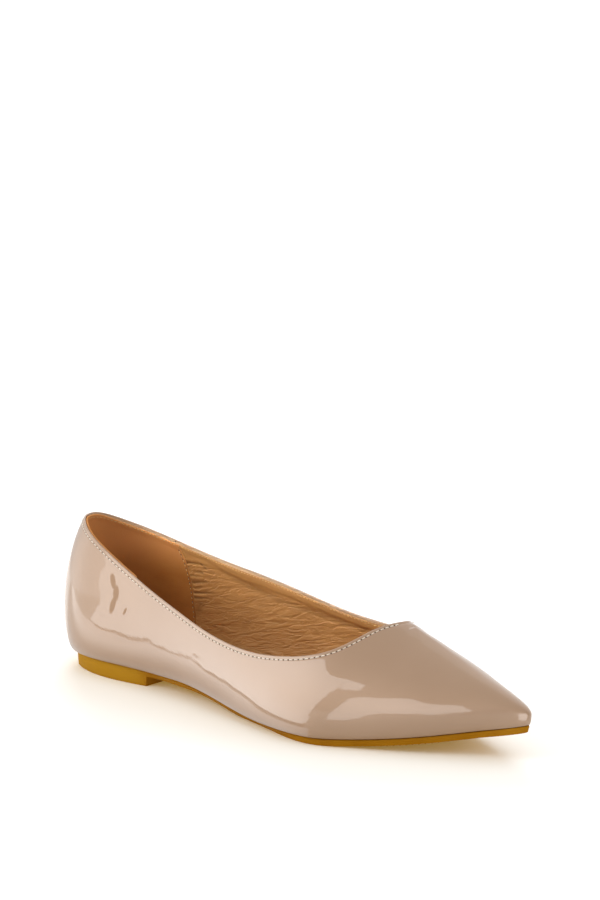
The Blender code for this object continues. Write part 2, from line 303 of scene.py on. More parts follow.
def surfaceArrays(grid):
    # Welded points, faces and per-point values of the outer face, with the margin under the insole
    rim, body = upperSheet(grid)
    distances = np.array(grid["rimDistances"])
    margin = []
    for further in (0.004, shoe["lastingMargin"]):
        line = footLine(body[0][-1], further)
        margin.append(np.column_stack([line, soleTop(line[:, 0]) + shoe["gap"]]))
    rimPoints = wallPoint(*rim)
    bodyPoints = np.concatenate([wallPoint(*body), np.array(margin)])
    bm = bmesh.new()
    layers = {key: bm.verts.layers.float.new(key) for key in ("angle", "rim")}

    def addGrid(points, angles, rims):
        verts = []
        for r in range(len(points)):
            row = []
            for c in range(points.shape[1]):
                vert = bm.verts.new(points[r, c] + frameShift)
                beyond = r - len(angles) + 1  # rows of the margin, under the insole
                vert[layers["angle"]] = angles[r, c] if beyond <= 0 else -90 - 10 * beyond
                vert[layers["rim"]] = rims[r, c]
                row.append(vert)
            verts.append(row)
        for high, low in zip(verts, verts[1:]):
            for i in range(len(high)):
                j = (i + 1) % len(high)
                bm.faces.new((low[j], low[i], high[i], high[j]))

    addGrid(rimPoints, rim[1], np.broadcast_to(distances[:, None], rim[0].shape))
    # Below the rim rows the distance goes on growing down each column
    steps = np.linalg.norm(np.diff(bodyPoints, axis=0), axis=-1) / mm
    grown = distances[-1] + np.concatenate([np.zeros((1, steps.shape[1])), np.cumsum(steps, 0)])
    quarter = grid["quarterColumns"]
    vamp = np.arange(bodyPoints.shape[1])
    vamp = (vamp > quarter) & (vamp < bodyPoints.shape[1] - quarter)
    throatGap = np.linalg.norm(bodyPoints[0] - bodyPoints[0, quarter], axis=-1) / mm
    grown = np.where(vamp, grown + throatGap, grown)
    addGrid(bodyPoints, body[1], grown)
    bmesh.ops.remove_doubles(bm, verts=bm.verts, dist=weldDistance)
    bm.normal_update()
    points = np.array([v.co for v in bm.verts])
    normals = np.array([v.normal for v in bm.verts])
    values = {key: np.array([v[layer] for v in bm.verts]) for key, layer in layers.items()}
    bm.verts.index_update()
    faces = [tuple(v.index for v in f.verts) for f in bm.faces]
    bm.free()
    values["along"] = points[:, 0] - frameShift[0]
    values["across"] = points[:, 1] - frameShift[1]
    values["height"] = points[:, 2]
    points = points + normals * relief(values)[:, None]
    return points, normals, faces, values


def addObject(name, data):
    obj = bpy.data.objects.new(name, data)
    bpy.context.scene.collection.objects.link(obj)
    return obj


def meshObject(name, bm, smooth=True):
    mesh = bpy.data.meshes.new(name)
    bm.to_mesh(mesh)
    bm.free()
    if smooth:
        mesh.shade_smooth()
    return addObject(name, mesh)


def skin(bm, rings):  # faces between closed rings of points
    for a, b in zip(rings, rings[1:]):
        for i in range(len(a)):
            j = (i + 1) % len(a)
            bm.faces.new((a[i], a[j], b[j], b[i]))


def finishMesh(name, bm, material):
    obj = meshObject(name, bm)
    obj.data.materials.append(material)
    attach(obj, "root")
    return obj


def shellObject(name, sheet, keep, outerRise, innerRise, material, marks=None):
    # A closed sheet between two heights over the outer face, over the points that keep allows; marks
    # are values of each point, on the outer and the inner face, that its material reads by name
    points, normals, faces = sheet[:3]
    bm = bmesh.new()
    layers = {key: bm.verts.layers.float.new(key) for key in marks or {}}
    outer = points + normals * outerRise[:, None]
    inner = points + normals * innerRise[:, None]
    kept = [f for f in faces if all(keep[i] for i in f)]
    used = sorted({i for f in kept for i in f})
    high = {i: bm.verts.new(outer[i]) for i in used}
    low = {i: bm.verts.new(inner[i]) for i in used}
    for key, layer in layers.items():
        for i in used:
            high[i][layer] = marks[key][0][i]
            low[i][layer] = marks[key][1][i]
    sides = set()
    for f in kept:
        bm.faces.new([high[i] for i in f])
        bm.faces.new([low[i] for i in reversed(f)])
        sides.update(zip(f, f[1:] + f[:1]))
    for a, b in sides:
        if (b, a) not in sides:
            bm.faces.new((high[b], high[a], low[a], low[b]))
    bmesh.ops.remove_doubles(bm, verts=bm.verts, dist=weldDistance)
    return finishMesh(name, bm, material)


# Soft creases and dents of the patent on the outer side: distance from the back of the heel,
# height above the floor, half length and half height (mm), turn (degrees) and rise (mm)
outerCreases = (
    (165.5, 35.2, 2.6, 0.5, 4, -0.03),
    (70.0, 27.0, 14.0, 6.0, 5, 0.05),
    (97.0, 25.0, 14.0, 6.0, -8, -0.05),
    (120.0, 21.0, 12.0, 6.0, 0, 0.05),
    (143.0, 17.0, 12.0, 6.0, -10, -0.04),
)
# Wavelengths along and up (mm), start and height (mm) of the leather's slight unevenness
leatherWaves = ((54, 61, 0.6, 0.040), (37, -49, 2.1, 0.015), (83, 44, 4.0, 0.040), (-47, 37, 1.2, 0.012))
# Where the relief weakens and ends towards the toe (mm from the heel), and begins below the topline (mm)
# and above the foot of the wall (degrees)
reliefFades = {"toe": (165, 200), "end": (225, 245), "rim": (2.4, 7.0), "foot": (-75, -25)}


def relief(value):  # rise of the patent over its smooth form, in metres
    along, height = value["along"] / mm, value["height"] / mm
    outer = value["across"] < 0
    rise = sum(h * np.sin(2 * np.pi * (along / a + height / b) + start) for a, b, start, h in leatherWaves)
    rise = rise * (1 - 0.8 * ease(along, *reliefFades["toe"])) * (1 - ease(along, *reliefFades["end"]))
    for a, z, halfAlong, halfUp, turn, h in outerCreases:
        cos, sin = math.cos(math.radians(turn)), math.sin(math.radians(turn))
        u = ((along - a) * cos + (height - z) * sin) / halfAlong
        v = ((height - z) * cos - (along - a) * sin) / halfUp
        rise = rise + h * np.exp(-(u * u + v * v)) * outer
    return rise * mm * ease(value["rim"], *reliefFades["rim"]) * ease(value["angle"], *reliefFades["foot"])


# Materials
def setInputs(tree, node, inputs):  # each input gets a link from a socket, or a value
    for key, value in inputs.items():
        if isinstance(value, bpy.types.NodeSocket):
            tree.links.new(value, node.inputs[key])
        else:
            node.inputs[key].default_value = value
    return node


def addNode(tree, kind, inputs=None, **settings):
    node = tree.nodes.new(kind)
    for key, value in settings.items():
        setattr(node, key, value)
    return setInputs(tree, node, inputs or {})


def startMaterial(name):
    material = bpy.data.materials.new(name)
    material.use_nodes = True
    tree = material.node_tree
    place = addNode(tree, "ShaderNodeTexCoord").outputs["Object"]
    return material, tree, tree.nodes["Principled BSDF"], place


def mapping(tree, vector, kind="POINT", **inputs):
    return addNode(tree, "ShaderNodeMapping", {"Vector": vector, **inputs}, vector_type=kind).outputs[0]


def noise(tree, place, scale, detail=2.0, roughness=0.5, stretch=(1, 1, 1), tilt=0.0, warp=0.0):
    turned = mapping(tree, place, Rotation=(0, math.radians(tilt), 0))
    inputs = {"Vector": mapping(tree, turned, Scale=stretch), "Scale": scale, "Detail": detail,
              "Roughness": roughness, "Distortion": warp}
    return addNode(tree, "ShaderNodeTexNoise", inputs).outputs["Fac"]


def rampColour(tree, factor, stops):
    ramp = addNode(tree, "ShaderNodeValToRGB", {"Fac": factor})
    for element, (place, colour) in zip(ramp.color_ramp.elements, stops):
        element.position, element.color = place, (*colour, 1)
    return ramp.outputs["Color"]


def mixColour(tree, colour, other, share):
    mixed = addNode(tree, "ShaderNodeMix", {"Factor": share, 6: colour, 7: (*other, 1)}, data_type="RGBA")
    return mixed.outputs[2]


def mapRange(tree, value, first, last, low=0.0, high=1.0, smooth=False):
    inputs = {"Value": value, "From Min": first, "From Max": last, "To Min": low, "To Max": high}
    kind = "SMOOTHSTEP" if smooth else "LINEAR"
    return addNode(tree, "ShaderNodeMapRange", inputs, interpolation_type=kind).outputs[0]


def calculate(tree, operation, first, second=0.0):
    return addNode(tree, "ShaderNodeMath", {0: first, 1: second}, operation=operation).outputs[0]


def axisOf(tree, vector, name):
    return addNode(tree, "ShaderNodeSeparateXYZ", {0: vector}).outputs[name]


def lengthOf(tree, vector):
    return addNode(tree, "ShaderNodeVectorMath", {0: vector}, operation="LENGTH").outputs["Value"]


def facingDown(tree, first, last):  # 0 to 1 as the normal's height falls from first to last
    normal = addNode(tree, "ShaderNodeNewGeometry").outputs["Normal"]
    return mapRange(tree, axisOf(tree, normal, "Z"), first, last)


def ownValue(tree, name):  # a value that the piece's points carry
    attribute = addNode(tree, "ShaderNodeAttribute", attribute_name=name, attribute_type="GEOMETRY")
    return attribute.outputs["Fac"]


def bump(tree, height, distance, strength=1.0, under=None):
    inputs = {"Height": height, "Distance": distance, "Strength": strength}
    if under is not None:
        inputs["Normal"] = under
    return addNode(tree, "ShaderNodeBump", inputs).outputs["Normal"]


def creased(tree, factor):  # thin valleys where the noise passes its middle
    fold = calculate(tree, "ABSOLUTE", calculate(tree, "SUBTRACT", factor, 0.5))
    return mapRange(tree, fold, 0.0, 0.13, smooth=True)


patentLook = {
    "colour": (0.333, 0.202, 0.116),
    "deepColour": (0.313, 0.186, 0.103),
    "paintedFoldLightColour": (0.70, 0.52, 0.32),
    "roughness": 0.42,
    "coatRoughness": 0.035,
}
heelBack = 133.6  # mm from the back of the heel to the origin
# Dull strokes on the outer quarter: distance from the back of the heel and height of the
# middle, half length and half height (mm), and turn (degrees)
dullStrokes = (
    (49.2, 48.5, 1.5, 3.7, 24),
    (52.0, 43.5, 1.7, 3.6, 4),
    (50.8, 38.0, 1.5, 4.6, -16),
    (58.4, 36.2, 0.7, 2.0, -28),
)


def strokeMask(tree, place):
    total = 0.0
    for along, height, halfAlong, halfUp, turn in dullStrokes:
        local = mapping(tree, place, "TEXTURE", Location=((along - heelBack) * mm, 0, height * mm),
                        Rotation=(0, -math.radians(turn), 0), Scale=(halfAlong * mm, 1000, halfUp * mm))
        stroke = mapRange(tree, lengthOf(tree, local), 1.15, 0.85)
        total = calculate(tree, "MAXIMUM", total, stroke)
    outer = calculate(tree, "LESS_THAN", axisOf(tree, place, "Y"), 0.0)
    return calculate(tree, "MULTIPLY", total, outer)


def patentMaterial():
    material, tree, shader, place = startMaterial("nudePatent")
    cloud = noise(tree, place, 22, 3)
    colour = rampColour(tree, cloud, ((0.35, patentLook["deepColour"]), (0.65, patentLook["colour"])))
    # Painted light: inside, the folded edge is made paler, where light falls on it
    colour = mixColour(tree, colour, patentLook["paintedFoldLightColour"], ownValue(tree, "turnedIn"))
    waves = bump(tree, noise(tree, place, 55, 1), 0.0006, 0.5)
    peel = bump(tree, noise(tree, place, 420, 2), 0.00003, 0.6, waves)
    # The varnish ends where the patent turns under, and is dull at the strokes
    bare = calculate(tree, "MAXIMUM", facingDown(tree, -0.45, -0.80), strokeMask(tree, place))
    setInputs(tree, shader, {
        "Base Color": colour,
        "Roughness": patentLook["roughness"],
        "Specular IOR Level": mapRange(tree, bare, 0, 1, 0.5, 0.1),
        "Coat Weight": mapRange(tree, bare, 0, 1, 1.0, 0.2),
        "Coat Roughness": patentLook["coatRoughness"],
        "Coat IOR": 1.5,
        "Normal": peel,
        "Coat Normal": peel,
    })
    return material


liningLook = {"roughness": 0.5, "gloss": 0.35}
suedeLook = {"roughness": 0.8, "gloss": 0.15}


def liningMaterial(name, light, dark, wrinkle, grain, nap=0.0):
    material, tree, shader, place = startMaterial(name)
    cloud = noise(tree, place, 70, 5, 0.6, (0.5, 1, 1))
    colour = rampColour(tree, cloud, ((0.3, dark), (0.7, light)))
    if nap:  # painted light: the suede is made lighter towards its top edge, where more light falls
        paintedTopLight = mapRange(tree, axisOf(tree, place, "Z"), 0.036, 0.056, smooth=True)
        colour = mixColour(tree, colour, [min(1, c * 1.35 + 0.03) for c in light], paintedTopLight)
    # The lining's own values: how deep in a crease a point lies, which darkens its colour as painted
    # shade, and how loose the lining is there
    colour = mixColour(tree, colour, [c * 0.30 for c in dark], ownValue(tree, "fold"))
    slack = ownValue(tree, "slack")
    broad = creased(tree, noise(tree, place, 300, 3, 0.5, (0.24, 0.5, 1.0), 13, 0.5))
    narrow = noise(tree, place, 760, 3, 0.6, (0.2, 0.5, 1.0), 13, 0.7)
    folds = bump(tree, narrow, wrinkle * 0.8, slack, bump(tree, broad, wrinkle * 0.6, slack))
    fine = bump(tree, noise(tree, place, 2200, 2), grain, 0.8, folds)
    look = suedeLook if nap else liningLook
    setInputs(tree, shader, {"Base Color": colour, "Normal": fine, "Roughness": look["roughness"],
                             "Specular IOR Level": look["gloss"]})
    if nap:
        setInputs(tree, shader, {"Sheen Weight": nap, "Sheen Roughness": 0.4,
                                 "Sheen Tint": (*(min(1, c * 2.2) for c in light), 1)})
    return material


soleLook = {
    "colour": (0.36, 0.155, 0.005),
    "deepColour": (0.30, 0.12, 0.002),
    "heelColour": (0.40, 0.20, 0.010),
    "scuffColour": (0.17, 0.085, 0.02),
    "scuffs": 0.45,
}


def soleMaterial():
    material, tree, shader, place = startMaterial("goldenRubber")
    cloud = noise(tree, place, 90, 4)
    colour = rampColour(tree, cloud, ((0.3, soleLook["deepColour"]), (0.7, soleLook["colour"])))
    atHeel = mapRange(tree, axisOf(tree, place, "X"), -0.066, -0.074)
    colour = mixColour(tree, colour, soleLook["heelColour"], atHeel)
    # Light scuffs on what treads the ground
    rubbed = mapRange(tree, noise(tree, place, 260, 5, 0.7, (1, 0.3, 1)), 0.5, 0.75, 0.0, soleLook["scuffs"])
    worn = calculate(tree, "MULTIPLY", facingDown(tree, -0.5, -0.95), rubbed)
    colour = mixColour(tree, colour, soleLook["scuffColour"], worn)
    uneven = bump(tree, noise(tree, place, 160, 2), 0.0002, 0.5)
    grain = bump(tree, noise(tree, place, 900, 3), 0.00008, 0.7, uneven)
    setInputs(tree, shader, {"Base Color": colour, "Normal": grain, "Roughness": 0.65,
                             "Specular IOR Level": 0.04})
    return material


def plainMaterial(name, colour, roughness):
    material, tree, shader, place = startMaterial(name)
    stops = ((0.3, [c * 0.8 for c in colour]), (0.7, colour))
    setInputs(tree, shader, {"Base Color": rampColour(tree, noise(tree, place, 700, 2), stops),
                             "Roughness": roughness})
    return material


patent = patentMaterial()
quarterLining = liningMaterial("wrinkledLining", (0.50, 0.256, 0.086), (0.41, 0.198, 0.060),
                               wrinkle=0.00045, grain=0.00006)
counterSuede = liningMaterial("counterSuede", (0.40, 0.165, 0.038), (0.31, 0.118, 0.020),
                              wrinkle=0.0, grain=0.00012, nap=0.35)
goldenRubber = soleMaterial()
ivoryThread = plainMaterial("ivoryThread", (0.78, 0.68, 0.56), 0.6)
ochreThread = plainMaterial("ochreThread", (0.62, 0.42, 0.16), 0.6)
stitchShade = plainMaterial("stitchShade", (0.10, 0.055, 0.03), 0.8)
print("materials made")


# Upper
patentShape = {
    "thickness": 0.7,  # mm
    "foldThickness": 1.0,  # at the folded edge
    "foldDepth": 3.0,  # how far the fold reaches down inside
    "foldFade": 1.5,
    "grooveDistance": 1.9,  # the stitch row below the topline
    "grooveDepth": 0.13,
    "grooveWidth": 0.42,
}


def roundEdge(distance, radius):  # how far a rolled edge of this radius has dropped
    left = np.clip(radius - distance, 0, radius)
    return radius - np.sqrt(radius**2 - left**2)


def patentDepth(distance):  # of its inner face, in mm
    return patentShape["thickness"] + (patentShape["foldThickness"] - patentShape["thickness"]) * (
        1 - ease(distance, patentShape["foldDepth"], patentShape["foldDepth"] + patentShape["foldFade"]))


def makeUpper(sheet):
    d = sheet[3]["rim"]
    fromGroove = (d - patentShape["grooveDistance"]) / patentShape["grooveWidth"]
    groove = patentShape["grooveDepth"] * np.exp(-fromGroove ** 2)
    drop = roundEdge(d, patentShape["foldThickness"] / 2)
    fold = patentShape["foldDepth"]
    # How far painted light makes the inside of the folded edge paler
    paintedFoldLightShare = ease(d, 0.25, 0.7) * (1 - ease(d, fold, fold + 1))
    upper = shellObject("upperPatent", sheet, np.full(len(d), True), -(groove + drop) * mm,
                        -(patentDepth(d) - drop) * mm, patent, {"turnedIn": (0 * d, paintedFoldLightShare)})
    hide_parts("upper")


# Lining of the quarters and vamp, with the counter lining sewn over it round the heel
liningGrid = {
    "quarterColumns": 120,
    "vampColumns": 20,
    "wallRows": 112,
    "footRows": 6,
    "rimDistances": (0, 0.5, 1.0, 1.5, 1.6, 1.72, 1.9, 2.15, 2.45, 2.8, 3.2, 3.65, 4.1, 4.6, 5.2),
}
liningShape = {
    "edge": 1.5,  # mm below the topline
    "thickness": 0.4,
    "rollAt": 4.9,  # middle of the soft roll along the edge
    "rollWidth": 1.9,
    "rollRise": 0.55,
    "hollowAt": 7.8,  # on the outer side
    "hollowWidth": 1.5,
    "hollowDepth": 0.45,
    "loose": (1.0, 8.0),  # from where to where the lining grows loose past the counter's seam
    "tight": (190, 215),  # and becomes tight towards the toe
    "puckerDepth": 0.62,
    "puckerWidth": 0.72,
    "gatherPitch": 2.7,  # on the outer side
    "slackRise": 0.16,
}
counterShape = {"thickness": 0.5, "innerEdge": 1.4, "outerEdge": -0.35, "backEdge": 0.5}  # mm
# Puckers of the lining beside the counter's seam on the inner side: distance from the
# back of the heel and height of both ends (mm) and share of the depth
puckers = (
    (42.0, 45.7, 53.5, 47.2, 0.8),
    (53.5, 47.2, 55.6, 45.6, 0.7),
    (55.6, 45.6, 53.2, 42.8, 0.6),
    (53.2, 42.8, 46.0, 41.8, 0.8),
    (43.5, 39.3, 53.0, 41.3, 0.6),
    (44.4, 36.0, 56.0, 38.8, 1.0),
    (45.0, 33.6, 52.0, 34.8, 0.7),
    (45.4, 31.3, 60.0, 34.0, 1.0),
    (46.0, 28.9, 57.5, 30.9, 0.9),
    (46.6, 26.8, 56.0, 28.3, 0.75),
    (47.0, 24.8, 55.5, 26.4, 0.7),
    (47.6, 22.5, 54.0, 23.6, 0.35),
    (48.2, 19.8, 54.5, 21.0, 0.2),
    (57.5, 44.0, 66.0, 44.6, 0.25),
    (58.0, 40.6, 68.0, 42.4, 0.25),
    (60.0, 36.4, 72.0, 39.0, 0.2),
    (80.7, 33.4, 96.8, 38.7, 0.25),
    (91.0, 33.6, 104.0, 36.6, 0.25),
    (68.0, 27.0, 84.5, 31.3, 0.22),
    (73.0, 22.5, 95.0, 28.7, 0.25),
    (66.6, 17.8, 91.5, 23.7, 0.22),
    (104.0, 31.0, 124.0, 34.5, 0.25),
    (98.0, 26.5, 116.0, 30.5, 0.2),
    (122.0, 27.0, 140.0, 30.0, 0.2),
)
# The hollow below the roll on the inner side: distance from the back of the heel and height (mm)
rollHollow = ((56.0, 50.0), (65.6, 47.0), (76.0, 44.2), (89.1, 41.6), (101.0, 39.2), (113.7, 37.0),
              (125.7, 35.5), (137.7, 34.1), (148.6, 32.5), (165.0, 30.5))
# The counter's seam on either side: distance from the back of the heel and height (mm)
innerSeam = ((49.5, 14.0), (47.0, 25.0), (45.8, 32.6), (44.3, 40.0), (42.4, 47.0), (40.0, 53.0),
             (38.5, 60.0))
outerSeam = ((70.0, 14.0), (66.0, 30.0), (62.0, 47.0), (60.0, 60.0))


def seamAlong(height, seam):
    alongs, heights = zip(*seam)
    return np.interp(height, heights, alongs)


def liningRelief(value):  # how far the lining stands into the shoe in mm, and how deep its creases are, for their painted shade
    shape = liningShape
    along, height, d = value["along"] / mm, value["height"] / mm, value["rim"]
    inner = value["across"] > 0
    past = along - np.where(inner, seamAlong(height, innerSeam), seamAlong(height, outerSeam))
    front = ease(past, *shape["loose"]) * (1 - ease(along, *shape["tight"]))
    hollow = np.where(inner, height - np.interp(along, *zip(*rollHollow)), shape["hollowAt"] - d)
    roll = (shape["rollRise"] * np.exp(-((d - shape["rollAt"]) / shape["rollWidth"]) ** 2)
            - shape["hollowDepth"] * np.exp(-(hollow / shape["hollowWidth"]) ** 2)) * front
    pucker = np.zeros(len(d))
    for a, b, c, e, share in puckers:
        length = math.hypot(c - a, e - b)
        s = np.clip(((along - a) * (c - a) + (height - b) * (e - b)) / length**2, 0, 1)
        off = np.hypot(along - a - s * (c - a), height - b - s * (e - b)) / shape["puckerWidth"]
        fade = share * (1 - 0.7 * s**1.5)
        pucker -= shape["puckerDepth"] * fade * np.exp(-off**2) * inner
        pucker += shape["puckerDepth"] * 0.45 * fade * np.exp(-((off - 1.9) / 0.9) ** 2) * inner
    # The outer side, which its rim hides in the photograph, is gathered evenly
    wave = (height + 0.5 * np.sin(height / 3.1) - 0.2 * past) / shape["gatherPitch"]
    gather = 0.7 * (np.abs(np.sin(np.pi * wave)) - 0.6) * np.exp(-np.clip(past, 0, None) / 5.0)
    pucker += gather * ease(past, -1.0, 0.6) * ease(d, 3, 6.5) * ~inner
    pucker *= ease(past, -0.8, 0.4)
    slack = shape["slackRise"] * np.sin(along / 4.1 + 1.3 * np.sin(height / 5.0))
    slack = slack * np.sin(height / 3.3 + along / 17.0)
    # How deep the puckers and the hollow lie; the lining's material darkens them by this as painted shade
    fold = np.clip(-1.5 * pucker, 0, 0.85) + np.clip(-0.6 * roll, 0, 0.3)
    return roll + pucker + slack * front * ease(d, 7, 11), np.clip(fold, 0, 1)


def makeLining(sheet):
    value = sheet[3]
    d = value["rim"]
    bed = patentDepth(d) + 0.03
    drop = roundEdge(d - liningShape["edge"], liningShape["thickness"] / 2)
    # fold: how deep each crease lies, which the material paints as shade
    stand, fold = liningRelief(value)
    depth = np.maximum(liningShape["thickness"] + stand, 0.12)
    keep = (d > liningShape["edge"] - 0.01) & (value["angle"] > -95)
    slack = ease(d, 5.0, 10.0) * (1 - 0.5 * fold)
    lining = shellObject("quarterLining", sheet, keep, -(bed + drop) * mm, -(bed + depth - drop) * mm,
                         quarterLining, {"fold": (fold, fold), "slack": (slack, slack)})


def rimCurve(side, distance, count=240):
    # Section numbers and angles of a line at a distance below the topline, from the back to the throat
    numbers, angles = rimWalk(side, *toplinePlaces(side, count), (0, distance))
    return numbers[-1], angles[-1]


def outwardNormals(side, number, angle):
    angle = np.clip(angle, -89.0, 89.0)
    byN = wallPoint(around(side, number + 2e-3), angle) - wallPoint(around(side, number - 2e-3), angle)
    byA = wallPoint(around(side, number), angle + 0.3) - wallPoint(around(side, number), angle - 0.3)
    normal = np.cross(byN, byA) * -side
    return normal / np.linalg.norm(normal, axis=-1, keepdims=True)


def seamNumber(side, angle, seam):  # section number where the seam passes at each angle
    numbers = np.linspace(1.2, 4.5, 200)
    found = []
    for a in np.atleast_1d(angle):
        points = wallPoint(around(side, numbers), np.full(200, a))
        found.append(np.interp(0, points[:, 0] / mm - seamAlong(points[:, 2] / mm, seam), numbers))
    return np.array(found)


def makeCounter():
    # Rows run from the topline edge down to the foot, columns from one seam round the heel to the other
    shares = np.concatenate([1 - np.array([0, 0.004, 0.01, 0.02, 0.035, 0.055]), np.linspace(0.92, 0, 26),
                             np.linspace(0, -0.8, 9)[1:]])
    columns = np.linspace(0, 1, 46)
    halves = []
    for side, seam, edge in ((1, innerSeam, "innerEdge"), (-1, outerSeam, "outerEdge")):
        rim, behind = rimCurve(side, counterShape[edge]), rimCurve(side, counterShape["backEdge"])

        def edgeAngle(number):
            share = ease(number, 0.0, 1.2)
            return np.interp(number, *rim) * share + np.interp(number, *behind) * (1 - share)

        number = seamNumber(side, 36.0, seam)
        for _ in range(4):
            topAngle = edgeAngle(number)
            number = seamNumber(side, topAngle, seam)
        tops = edgeAngle(columns * number[0])
        places, angles = [], []
        for share in shares:
            angle = topAngle[0] * share if share > 0 else 88 * share
            places.append(columns * seamNumber(side, angle, seam)[0])
            angles.append(tops * share if share > 0 else np.full(len(columns), 88 * share))
        places, angles = np.array(places), np.array(angles)
        halves.append((wallPoint(around(side, places), angles), outwardNormals(side, places, angles)))
    points = np.concatenate([halves[1][0][:, :0:-1], halves[0][0]], 1) + frameShift
    normals = np.concatenate([halves[1][1][:, :0:-1], halves[0][1]], 1)
    middle = points.shape[1] // 2
    normals[:, middle] = normals[:, middle - 1] + normals[:, middle + 1]
    normals[:, middle] /= np.linalg.norm(normals[:, middle], axis=-1, keepdims=True)
    rows, wide = points.shape[:2]
    faces = [(r * wide + c, (r + 1) * wide + c, (r + 1) * wide + c + 1, r * wide + c + 1)
             for r in range(rows - 1) for c in range(wide - 1)]
    facing = np.cross(points[1, 1] - points[0, 1], points[0, 2] - points[0, 1])
    if facing @ normals[0, 1] < 0:
        faces = [face[::-1] for face in faces]
    fromEdge = np.linalg.norm(np.diff(points, axis=0), axis=-1) / mm
    fromEdge = np.vstack([np.zeros((1, wide)), np.cumsum(fromEdge, 0)])
    fromSeam = np.linalg.norm(np.diff(points, axis=1), axis=-1) / mm
    fromLeft = np.hstack([np.zeros((rows, 1)), np.cumsum(fromSeam, 1)])
    fromSeam = np.minimum(fromLeft, fromLeft[:, -1:] - fromLeft)
    bed = patentDepth(fromEdge + 1.0) + liningShape["thickness"] + 0.02
    drop = roundEdge(np.minimum(fromEdge, fromSeam), counterShape["thickness"] / 2)
    outerRise = -(bed + drop * 0.2).ravel() * mm
    innerRise = -(bed + counterShape["thickness"] - drop).ravel() * mm
    sheet = (points.reshape(-1, 3), normals.reshape(-1, 3), faces)
    counter = shellObject("counterLining", sheet, np.full(rows * wide, True), outerRise, innerRise,
                          counterSuede)


sheet = surfaceArrays(upperGrid)
makeUpper(sheet)
makeLining(surfaceArrays(liningGrid))
makeCounter()
print("upper and lining made")


# Sole, heel block and sock
slabGrid = {"stations": 150, "across": 24}


def outline(further, front=None):
    place = np.linspace(0, tip, 1200)
    inner = footLine(place, further(place))
    outer = footLine(2 * tip - place, further(place))
    back = inner[0, 0]
    if front is None:
        turn = (1 - np.cos(np.linspace(0, np.pi, slabGrid["stations"] + 1))) / 2
        front = inner[-1, 0]
    else:
        turn = 1 - np.cos(np.linspace(0, np.pi / 2, slabGrid["stations"] // 2 + 1))
    along = back + (front - back) * turn
    return along, np.interp(along, inner[:, 0], inner[:, 1]), np.interp(along, outer[:, 0], outer[:, 1])


def slabObject(name, levels, low, high, material, front=None, hollow=None):
    # levels: (inset function, share of the height) from the underside's edge to the top's edge; hollow
    # is how far the underside rises inside its border at each distance along
    shares = np.linspace(0, 1, slabGrid["across"] + 1)
    lines = [outline(inset, front and front(share)) for inset, share in levels]
    bm = bmesh.new()
    rings = []
    for k in range(len(lines[0][0])):
        stations = [(*(part[k] for part in line), share) for line, (_, share) in zip(lines, levels)]
        x, inner, outer, _ = stations[0]
        ring = []
        for s in shares[:-1]:
            border = min(s, 1 - s) * abs(inner - outer)
            ring.append((x, outer + (inner - outer) * s,
                         low(x) + (hollow(x) * ease(border, 0.003, 0.0042) if hollow else 0)))
        ring += [(x, inner, low(x) + (high(x) - low(x)) * share) for x, inner, outer, share in stations]
        x, inner, outer, _ = stations[-1]
        ring += [(x, inner + (outer - inner) * s, high(x)) for s in shares[1:-1]]
        ring += [(x, outer, low(x) + (high(x) - low(x)) * share)
                 for x, inner, outer, share in reversed(stations) if share > 0]
        rings.append([bm.verts.new(Vector(p) + Vector(frameShift)) for p in ring])
    skin(bm, rings)
    bmesh.ops.remove_doubles(bm, verts=bm.verts, dist=weldDistance)
    bmesh.ops.holes_fill(bm, edges=bm.edges)
    bmesh.ops.recalc_face_normals(bm, faces=bm.faces)
    obj = finishMesh(name, bm, material)
    obj.data.set_sharp_from_angle(angle=math.radians(40))
    return obj


treadShape = {
    "sole": (0.142, 0.249),  # from where to where the sole is ribbed, in metres from the back of the heel
    "heel": (0.0065, 0.0600),
    "depth": 0.00045,
    "pitch": 0.0026,
    "ribWidth": 0.0015,
    "border": 0.0038,
    "shortest": 0.010,  # of the ribs that are kept
}


def treadHollow(part, before, after):  # how far the underside rises between the ends of a ribbed part
    first, last = treadShape[part]

    def hollow(along):
        rise = treadShape["depth"] * ease(along, first - before, first)
        return rise * (1 - ease(along, last, last + after))

    return hollow


soleWaist = ((0.06, 0.09), (0.125, 0.155))  # from where to where it begins and ends, from the heel's back


def makeSole():
    def edge(extra, pared):
        # Behind the heel's front face the sole's edge runs straight down into the block
        def inset(place):
            along = alongAt(place)
            ahead = ease(along, shoe["heelLength"] - 0.002, shoe["heelLength"] + 0.004)
            waist = ease(along, *soleWaist[0]) * (1 - ease(along, *soleWaist[1]))
            return (insetAt(place) * (1 - 0.85 * waist) + extra * (ahead if pared else 1)
                    + pareAt(place) * pared * (1 - 0.6 * waist))
        return inset

    levels = [(edge(extra * mm, pared), share) for extra, pared, share in (
        (0.35, 1, 0.0), (0.08, 1, 0.07), (0, 1, 0.16), (0, 0.5, 0.55), (0, 0.0, 0.70), (0.05, 0, 0.93),
        (0.25, 0, 1.0))]
    sole = slabObject("outsoleRubber", levels, lambda x: soleTop(x) - shoe["soleThickness"], soleTop,
                      goldenRubber, hollow=treadHollow("sole", 0.005, 0.004))
    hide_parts("outsole")


def makeHeel():
    def edge(extra):
        return lambda place: insetAt(place) + pareAt(place) + extra

    taper = shoe["heelTaper"]
    levels = ((edge(taper + 0.35 * mm), 0.0), (edge(taper), 0.08), (edge(taper * 0.5), 0.5), (edge(0), 1.0))
    heel = slabObject("heelBlock", levels, lambda x: 0.0, lambda x: shoe["heelLift"] + shoe["gap"],
                      goldenRubber, front=lambda share: shoe["heelLength"] - 0.0009 * (1 - share),
                      hollow=treadHollow("heel", 0.003, 0.002))
    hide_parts("heel")


sockShape = {"inset": 0.0009, "toeRoom": 0.003, "toeStart": 0.9}


